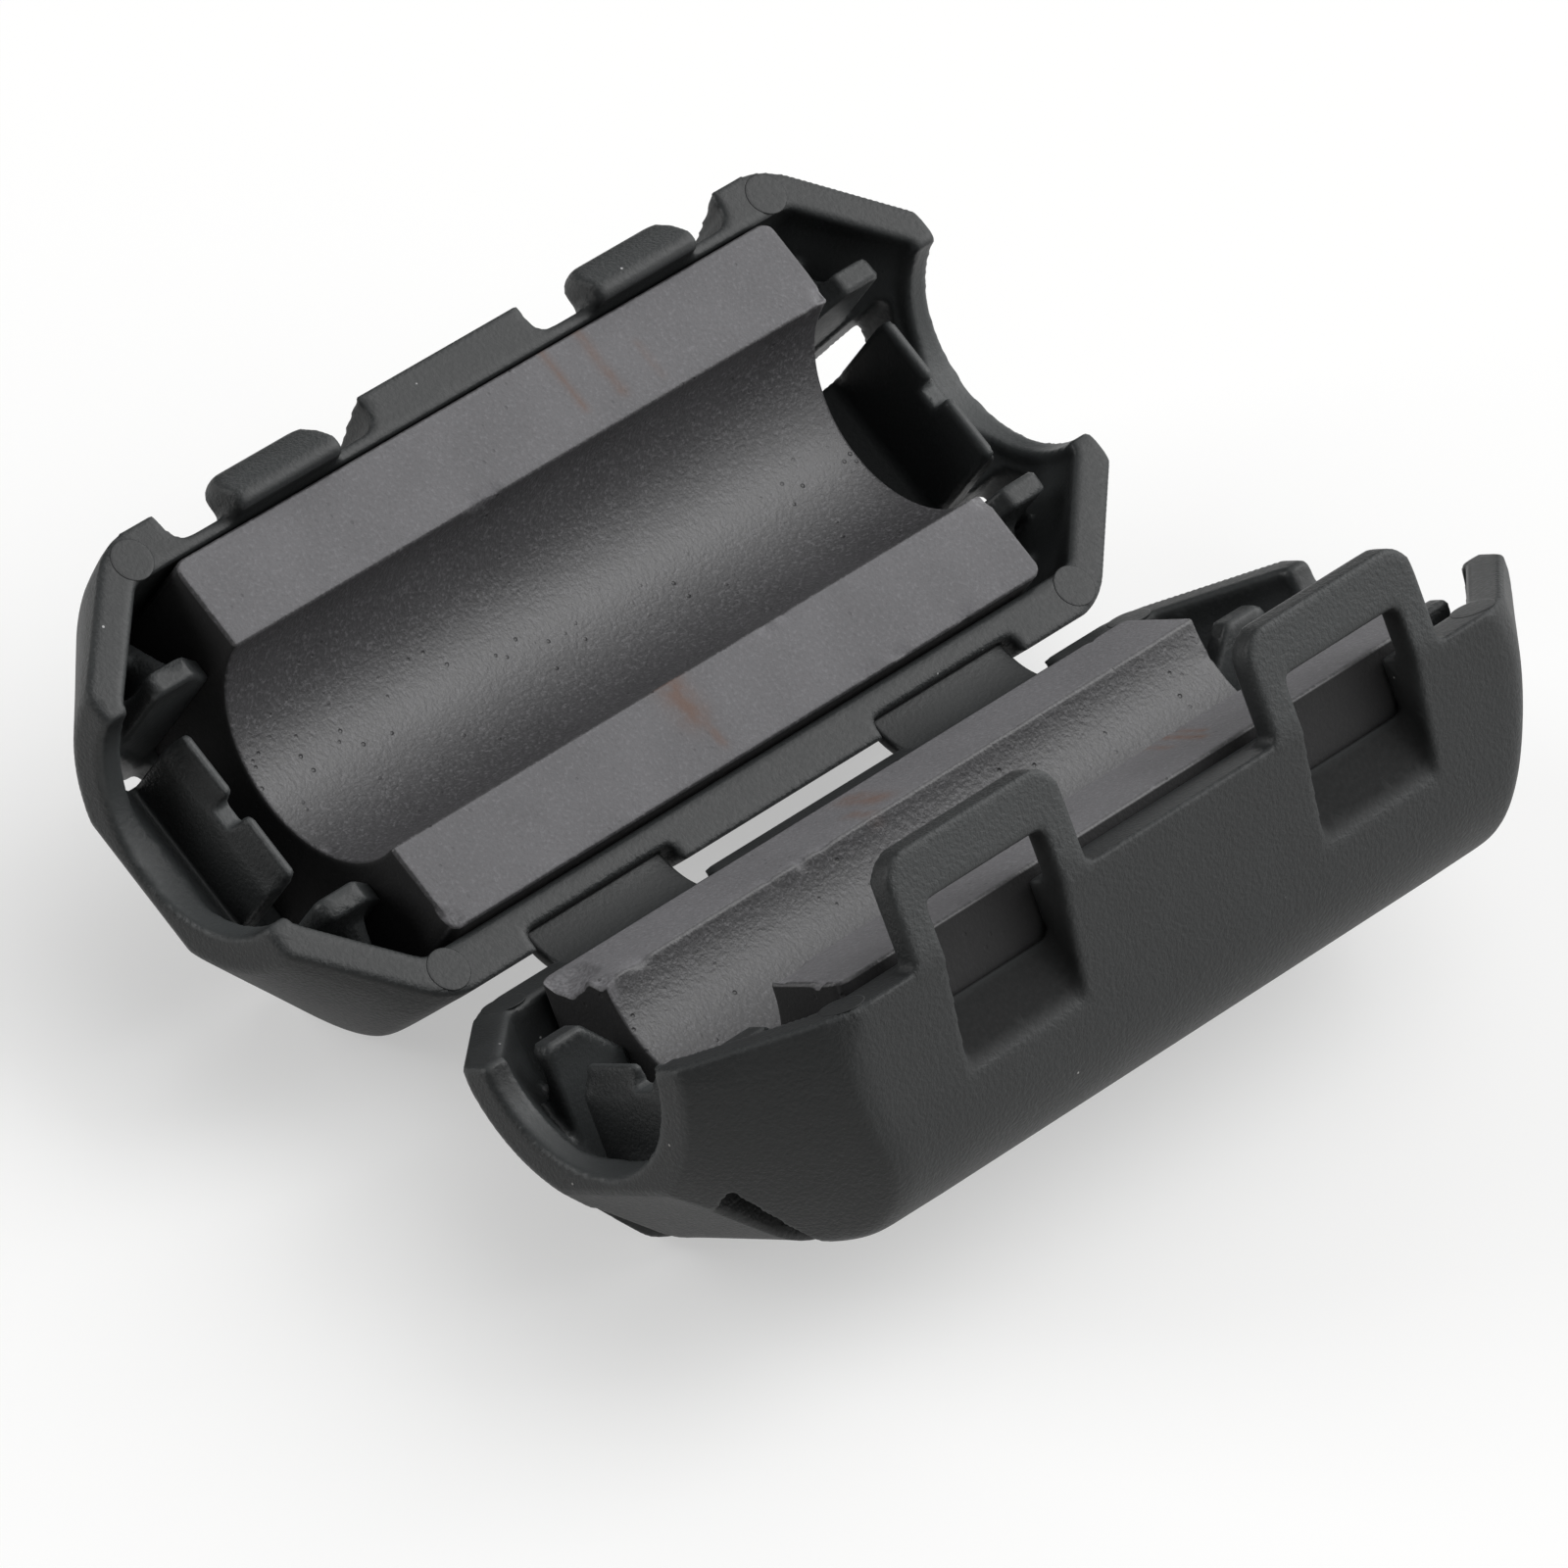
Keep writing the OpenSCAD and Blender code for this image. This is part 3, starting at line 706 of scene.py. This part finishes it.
def softened(points, faces):
    """A closed solid with its edges softened: its mesh, normals, and how far each point was rounded off.

    The solid is remeshed in small cubes and each point moves half way to the mean of its neighbours a few
    times, which rounds the edges. Points that stay close to the true surface are then put back on it, so flat
    faces stay flat. Last, the shoulders of the ends are smoothed further.
    """
    mesh = bpy.data.meshes.new("solid")
    mesh.from_pydata(points.tolist(), [], faces)
    solid = linked("solid", mesh)
    remesh = solid.modifiers.new("cubes", "REMESH")
    remesh.mode = "VOXEL"
    remesh.voxel_size = CASE_VOXEL
    fine = evaluated_mesh(solid)
    solid.modifiers.clear()
    edges = np.empty(len(fine.edges) * 2, np.int32)
    fine.edges.foreach_get("vertices", edges)
    edges = edges.reshape(-1, 2)
    smooth = mesh_points(fine)
    for _ in range(CASE_SMOOTHING):
        smooth = smooth * 0.5 + neighbour_mean(smooth, edges) * 0.5
    fine.vertices.foreach_set("co", smooth.reshape(-1))
    wrapped = linked("wrapped", fine)
    wrap = wrapped.modifiers.new("true surface", "SHRINKWRAP")
    wrap.target = solid
    true = mesh_points(evaluated_mesh(wrapped))
    wrapped.modifiers.clear()
    off = np.linalg.norm(true - smooth, axis=1)
    low, high = np.where(end_detail(smooth)[:, None], DETAIL_LIMIT, FLAT_LIMIT).T
    back = 1 - rising(off, low, high - low)
    placed = smooth + (true - smooth) * back[:, None]
    fine.vertices.foreach_set("co", placed.reshape(-1))
    loose = on_shoulder(placed, vertex_normals(fine))
    for _ in range(SHOULDER_SMOOTHING):
        placed = placed + (neighbour_mean(placed, edges) - placed) * 0.5 * loose[:, None]
    fine.vertices.foreach_set("co", placed.reshape(-1))
    normals = vertex_normals(fine)
    rounded = ((true - smooth) * normals).sum(axis=1)
    bpy.data.objects.remove(wrapped)
    bpy.data.objects.remove(solid)
    return fine, normals, rounded


def thin_out(piece):
    """Takes faces out of the flattest parts of a piece until it has SHELL_TRIANGLES triangles."""
    triangles = len(piece.data.loops) - 2 * len(piece.data.polygons)
    thin = piece.modifiers.new("thin", "DECIMATE")
    thin.ratio = min(1.0, SHELL_TRIANGLES / triangles)
    fewer = evaluated_mesh(piece)
    piece.modifiers.clear()
    piece.data = fewer
    fewer.name = piece.name


def pocket_shade_and_smoothing(points):
    """1 on the faces of the latch windows and the sloped pockets below them, eased to 0 at the outer wall:
    where painted shade and a smoother texture go.
    """
    across = np.abs(np.abs(points[:, 0]) - POCKET_X) < POCKET_HALF_WIDTH
    level = (points[:, 2] > POCKET_FOOT) & (points[:, 2] < POCKET_TOP)
    wall = points[:, 1].max() + WALL_DRAFT * np.minimum(points[:, 2] - RIM_LEVEL, 0)
    sunk = falling(points[:, 1], wall - POCKET_SKIN, POCKET_FADE)
    return (across & level & (points[:, 1] > POCKET_BACK)) * sunk


def make_shell(half):
    """The moulded shell: the CAD solid with softened edges, and where it is worn, outside or inside, and
    where painted light and painted shade go.
    """
    node = half + "_shell"
    shape = bmesh.new()
    shape.from_mesh(frame["nodes"][node].data)
    bmesh.ops.remove_doubles(shape, verts=shape.verts, dist=MERGE_GAP * MM)
    corners = local([vert.co for vert in shape.verts], half)
    faces = [[vert.index for vert in face.verts] for face in shape.faces]
    shape.free()
    mesh, normals, rounded = softened(corners, faces)
    points = mesh_points(mesh)
    away = points * OUT_OF_MIDDLE
    away /= np.linalg.norm(away, axis=1)[:, None]
    outside = np.clip((normals * away).sum(axis=1) * OUTSIDE_SHARPNESS, 0, 1)
    # painted light on faces above the rim that face outward; it rides in the worn mask with the rubbed edges
    painted_light_raised = rising(points[:, 2], RIM_LEVEL, RAISED_LIGHT_RISE) * (normals[:, 1] > RAISED_LIGHT_FACING)
    # painted light that lifts the shade deep inside the case
    deep_light_share = falling(points[:, 2], RIM_LEVEL - DEEP_LIGHT_DROP, DEEP_LIGHT_FADE)
    # smooth: painted shade in the latch pockets, with a smoother texture
    carry(mesh, worn=np.maximum(rising(rounded, 0, WORN_DEPTH), painted_light_raised), outside=outside,
          inside=(1 - outside) * deep_light_share, smooth=pocket_shade_and_smoothing(points) * (half == "latch"))
    mesh.vertices.foreach_set("co", place(points, half).reshape(-1))
    mesh.materials.clear()
    mesh.materials.append(PLASTIC)
    mesh.polygons.foreach_set("use_smooth", np.ones(len(mesh.polygons), bool))
    piece = linked(half + "_case_shell", mesh)
    thin_out(piece)
    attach(piece, half + "_half")
    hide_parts(node)


def make_pin_marks(half):
    """Faint round marks that the mould's pins leave on the rim: low discs, each a stack of circles."""
    share, height = np.array(PIN_MARK_RINGS).T
    turn = np.linspace(0, 2 * np.pi, PIN_MARK_SIDES, endpoint=False)
    circle = np.stack([np.cos(turn), np.sin(turn)], axis=1) * PIN_MARK_RADIUS
    rings = circle[None] * share[:, None, None]
    level = np.broadcast_to((height * PIN_MARK_PROUD + RIM_LEVEL)[:, None, None], rings.shape[:2] + (1,))
    mark = np.concatenate([rings, level], axis=2).reshape(-1, 3)
    points = np.concatenate([mark + (x, y, 0) for x, y in PIN_MARK_PLACES])
    faces = [[corner + number * len(mark) for corner in face]
             for number in range(len(PIN_MARK_PLACES)) for face in tube_faces(len(share), PIN_MARK_SIDES)]
    piece = new_piece(half + "_pin_marks", place(points, half), faces, PLASTIC)
    face_outwards(piece)
    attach(piece, half + "_half")


# Hinge straps

def make_strap(side):
    """A living hinge strap: a flat section with rounded edges carried along an arc between the two notches.

    The arc's radius and centre come from the CAD strap's box; the section is a rectangle of the strap's width
    and thickness, with an arc at each corner.
    """
    low, high = STRAP_BOX[side]
    reach = (high[1] - low[1]) / 2
    lean = math.atan2(OUTWARD[2], OUTWARD[1])
    outer = reach / math.sin(lean)
    thickness = (high[2] - low[2] - outer * (1 - math.cos(lean))) / math.cos(lean)
    middle = outer - thickness / 2
    centre_z = low[2] + outer
    rounding = thickness * STRAP_ROUND
    flat_x = (high[0] - low[0]) / 2 - rounding
    flat_z = thickness / 2 - rounding
    across = np.concatenate([
        arc((right * flat_x, up * flat_z), rounding, start, start + 90, STRAP_CORNER_POINTS)
        for right, up, start in ((1, 1, 0), (-1, 1, 90), (-1, -1, 180), (1, -1, 270))])
    swing = np.linspace(-lean, lean, STRAP_STEPS)[:, None]
    radius = middle - across[:, 1]
    x = np.broadcast_to(across[:, 0] + (low[0] + high[0]) / 2, (STRAP_STEPS, len(across)))
    points = np.stack([x, np.sin(swing) * radius, centre_z - np.cos(swing) * radius], axis=2).reshape(-1, 3)
    piece = new_piece(f"living_hinge_{side}", points * MM, tube_faces(STRAP_STEPS, len(across)), PLASTIC)
    face_outwards(piece)
    end = reach * STRAP_BEND * MM
    -end
    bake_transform(piece)
    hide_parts("hinge_strap_" + side)


# Camera, floor and light

def make_camera():
    """The camera at the photograph's angle: azimuth 0 looks along +Y, and roll turns it about its axis."""
    azimuth = math.radians(CAMERA_AZIMUTH)
    elevation = math.radians(CAMERA_ELEVATION)
    back = Vector((math.sin(azimuth) * math.cos(elevation), -math.cos(azimuth) * math.cos(elevation),
                   math.sin(elevation)))
    data = bpy.data.cameras.new("camera")
    data.lens = CAMERA_LENS
    data.sensor_width = CAMERA_SENSOR
    data.clip_start = CAMERA_NEAR
    data.clip_end = CAMERA_FAR
    camera = linked("camera", data)
    roll = Matrix.Rotation(math.radians(CAMERA_ROLL), 4, "Z")
    turn = back.to_track_quat("Z", "Y").to_matrix().to_4x4() @ roll
    camera.matrix_world = Matrix.Translation(CAMERA_TARGET + back * CAMERA_DISTANCE) @ turn
    bpy.context.scene.camera = camera


def make_lamp(name, place_at, size, watts):
    """A square soft box that faces the part."""
    data = bpy.data.lights.new(name, "AREA")
    data.size = size
    data.energy = watts
    turn = Vector(place_at).to_track_quat("Z", "Y").to_matrix().to_4x4()
    linked(name, data).matrix_world = Matrix.Translation(place_at) @ turn


def floor_finish():
    """White with a faint shadow to the camera and in reflections; tan in the light it throws on the part."""
    look = Finish(bpy.data.materials.new("pale floor"))
    camera, glossy, transmission = [look.node("ShaderNodeLightPath", output=name)
                                    for name in ("Is Camera Ray", "Is Glossy Ray", "Is Transmission Ray")]
    seen = camera.math("MAXIMUM", glossy.math("MAXIMUM", transmission))
    table = look.node("ShaderNodeBsdfDiffuse", {}, {"Color": TABLE_COLOUR})
    paper = look.node("ShaderNodeBsdfDiffuse", {}, {"Color": PAPER_COLOUR})
    glow = look.node("ShaderNodeEmission", {}, {"Color": GLOW_COLOUR})
    white = look.node("ShaderNodeMixShader", {}, {0: FLOOR_GLOW, 1: paper, 2: glow})
    return look.end(look.node("ShaderNodeMixShader", {}, {0: seen, 1: table, 2: white}))


def sky():
    """A soft sky: bright in a wide round patch towards SKY_WAY, dim elsewhere."""
    look = Finish(bpy.data.worlds.new("soft sky"), "ShaderNodeOutputWorld")
    way = look.node("ShaderNodeTexCoord", output="Generated")
    facing = look.node("ShaderNodeVectorMath", {"operation": "DOT_PRODUCT"}, {0: way, 1: SKY_WAY}, "Value")
    colour = look.mix(facing.above(*SKY_PATCH), tone_of(SKY_DIM), tone_of(SKY_BRIGHT))
    return look.end(look.node("ShaderNodeBackground", {}, {"Color": colour}))


def make_studio():
    """A pale floor, the soft sky, a soft box to the front right and a weak fill from behind on the left."""
    corners = [(x * FLOOR_REACH, y * FLOOR_REACH, 0) for x, y in ((-1, -1), (1, -1), (1, 1), (-1, 1))]
    floor = new_piece("floor", corners, [(0, 1, 2, 3)], floor_finish())
    bpy.context.scene.world = sky()
    make_lamp("soft box", LAMP_PLACE, LAMP_SIZE, LAMP_WATTS)
    make_lamp("fill", FILL_PLACE, FILL_SIZE, FILL_WATTS)
    bpy.context.scene.view_settings.view_transform = "Standard"


make_camera()
make_studio()
for half in HALVES:
    make_shell(half)
    make_core(half)
    make_pin_marks(half)
for side in SIDES:
    make_strap(side)
